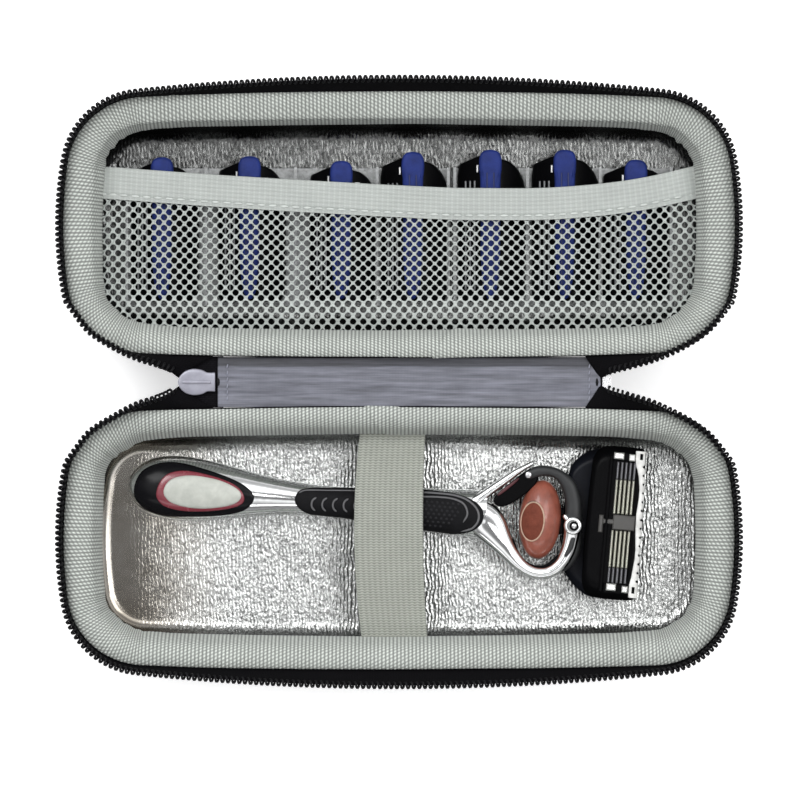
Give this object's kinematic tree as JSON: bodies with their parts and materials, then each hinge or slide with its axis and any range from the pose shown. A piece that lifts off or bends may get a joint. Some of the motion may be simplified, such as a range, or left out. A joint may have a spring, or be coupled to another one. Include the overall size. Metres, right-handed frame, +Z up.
{
  "type": "zipped hard case for a razor",
  "caption": "Zipped hard case, open flat, with a razor held by an elastic strap and spare cartridges in a mesh pocket.",
  "frame": {"origin": "on the table, under the middle of the fabric spine between both halves of the open case", "axes": "+X along the case, away from the zip slider; +Y from the razor half to the spares half; +Z up"},
  "size_m": [0.1926, 0.172, 0.0293],
  "materials": {
    "black_fabric": "woven nylon",
    "eva_foam": "moulded foam",
    "foil": "embossed metallised fabric",
    "grey_binding": "ribbed woven tape",
    "zip_tape": "woven tape",
    "zip_coil": "moulded coil",
    "hinge_nylon": "coated nylon",
    "slider_metal": "satin lacquer",
    "elastic_grey": "ribbed elastic",
    "mesh_grey": "knitted mesh",
    "hem_grey": "folded elastic",
    "razor_chrome": "polished",
    "razor_rubber": "moulded",
    "razor_black": "gloss",
    "razor_red": "gloss",
    "razor_white": "gloss",
    "ball_orange": "satin",
    "pin_steel": "polished",
    "cartridge_black": "moulded",
    "blade_steel": "ground",
    "comb_white": "moulded",
    "clip_silver": "bright",
    "bar_blue": "waxy",
    "tray_clear": "clear plastic"
  },
  "bodies": {
    "lower_half": {"lower_cover": "black_fabric", "lower_core": "eva_foam", "lower_liner": "foil", "lower_binding": "grey_binding", "lower_zip_tape": "zip_tape", "lower_zip_coil": "zip_coil"},
    "spine": {"hinge_panel": "hinge_nylon", "hinge_backing": "black_fabric", "left_gusset": "zip_tape", "right_gusset": "zip_tape", "zip_chain_ends": "zip_coil", "zip_stop": "slider_metal"},
    "upper_half": {"upper_cover": "black_fabric", "upper_core": "eva_foam", "upper_liner": "foil", "upper_binding": "grey_binding", "upper_zip_tape": "zip_tape", "upper_zip_coil": "zip_coil"},
    "zip_slider": {"zip_slider": "slider_metal"},
    "zip_pull": {"zip_pull": "slider_metal"},
    "elastic_strap": {"elastic_strap": "elastic_grey"},
    "pocket": {"pocket_hem": "hem_grey", "mesh_pocket": "mesh_grey"},
    "razor": {"razor_handle": "razor_chrome", "handle_cap": "razor_black", "cap_ring": "razor_red", "cap_inlay": "razor_white", "rear_grip": "razor_rubber", "front_grip": "razor_rubber", "razor_fork": "razor_chrome", "ring_guard": "razor_black", "fork_pins": "pin_steel"},
    "razor_ball": {"pivot_ball": "ball_orange", "head_bracket": "cartridge_black", "head_rod": "pin_steel"},
    "ball_button": {"ball_button": "ball_orange"},
    "razor_head": {"head_frame": "cartridge_black", "head_blades": "blade_steel", "head_comb": "comb_white", "head_clips": "clip_silver"},
    "left_spares": {"left_tray": "tray_clear", "left_spare_blades": "blade_steel", "spare_1_frame": "cartridge_black", "spare_1_bar": "bar_blue", "spare_2_frame": "cartridge_black", "spare_2_bar": "bar_blue", "spare_3_frame": "cartridge_black", "spare_3_bar": "bar_blue", "spare_4_frame": "cartridge_black", "spare_4_bar": "bar_blue"},
    "right_spares": {"right_tray": "tray_clear", "right_spare_blades": "blade_steel", "spare_5_frame": "cartridge_black", "spare_5_bar": "bar_blue", "spare_6_frame": "cartridge_black", "spare_6_bar": "bar_blue", "spare_7_frame": "cartridge_black", "spare_7_bar": "bar_blue"}
  },
  "joints": [
    {"name": "spine_fold", "type": "hinge", "parent": "lower_half", "child": "spine", "pos_m": [0, -0.0065, 0.023], "axis": [1, 0, 0], "range_deg": [0, 90]},
    {"name": "lid_fold", "type": "hinge", "parent": "spine", "child": "upper_half", "pos_m": [0, 0.0065, 0.023], "axis": [1, 0, 0], "range_deg": [0, 90]},
    {"name": "zip_run", "type": "slide", "parent": "spine", "child": "zip_slider", "axis": [1, 0, 0], "range_m": [-0.003, 0]},
    {"name": "pull_swing", "type": "hinge", "parent": "zip_slider", "child": "zip_pull", "pos_m": [-0.0567, 0, 0.0191], "axis": [0, 1, 0], "range_deg": [-85, 85]},
    {"name": "strap_stretch", "type": "slide", "parent": "lower_half", "child": "elastic_strap", "axis": [0, 0, 1], "range_m": [0, 0.006], "stiffness_N_per_m": 120},
    {"name": "pocket_stretch", "type": "slide", "parent": "upper_half", "child": "pocket", "axis": [0, 0, 1], "range_m": [0, 0.006], "stiffness_N_per_m": 100},
    {"name": "razor_slide", "type": "slide", "parent": "lower_half", "child": "razor", "axis": [0.9963, -0.0861, 0], "range_m": [-0.004, 0.006]},
    {"name": "ball_swing", "type": "hinge", "parent": "razor", "child": "razor_ball", "pos_m": [0.03975, -0.03874, 0.0118], "axis": [0, 0, 1], "range_deg": [-12, 5], "stiffness_Nm_per_rad": 0.03},
    {"name": "button_press", "type": "slide", "parent": "razor_ball", "child": "ball_button", "axis": [0, 0, -1], "range_m": [0, 0.0008], "stiffness_N_per_m": 400, "springref_m": -0.0006},
    {"name": "head_tilt", "type": "hinge", "parent": "razor_ball", "child": "razor_head", "pos_m": [0.05579, -0.04012, 0.0082], "axis": [-0.0861, -0.9963, 0], "range_deg": [-20, 0], "stiffness_Nm_per_rad": 0.03, "springref_deg": 6.88},
    {"name": "left_spares_slide", "type": "slide", "parent": "upper_half", "child": "left_spares", "axis": [0, 1, 0], "range_m": [0, 0.003]},
    {"name": "right_spares_slide", "type": "slide", "parent": "upper_half", "child": "right_spares", "axis": [0, 1, 0], "range_m": [0, 0.003]}
  ],
  "couplings": [
    {"joint": "lid_fold", "follows": "spine_fold", "ratio": 1}
  ]
}
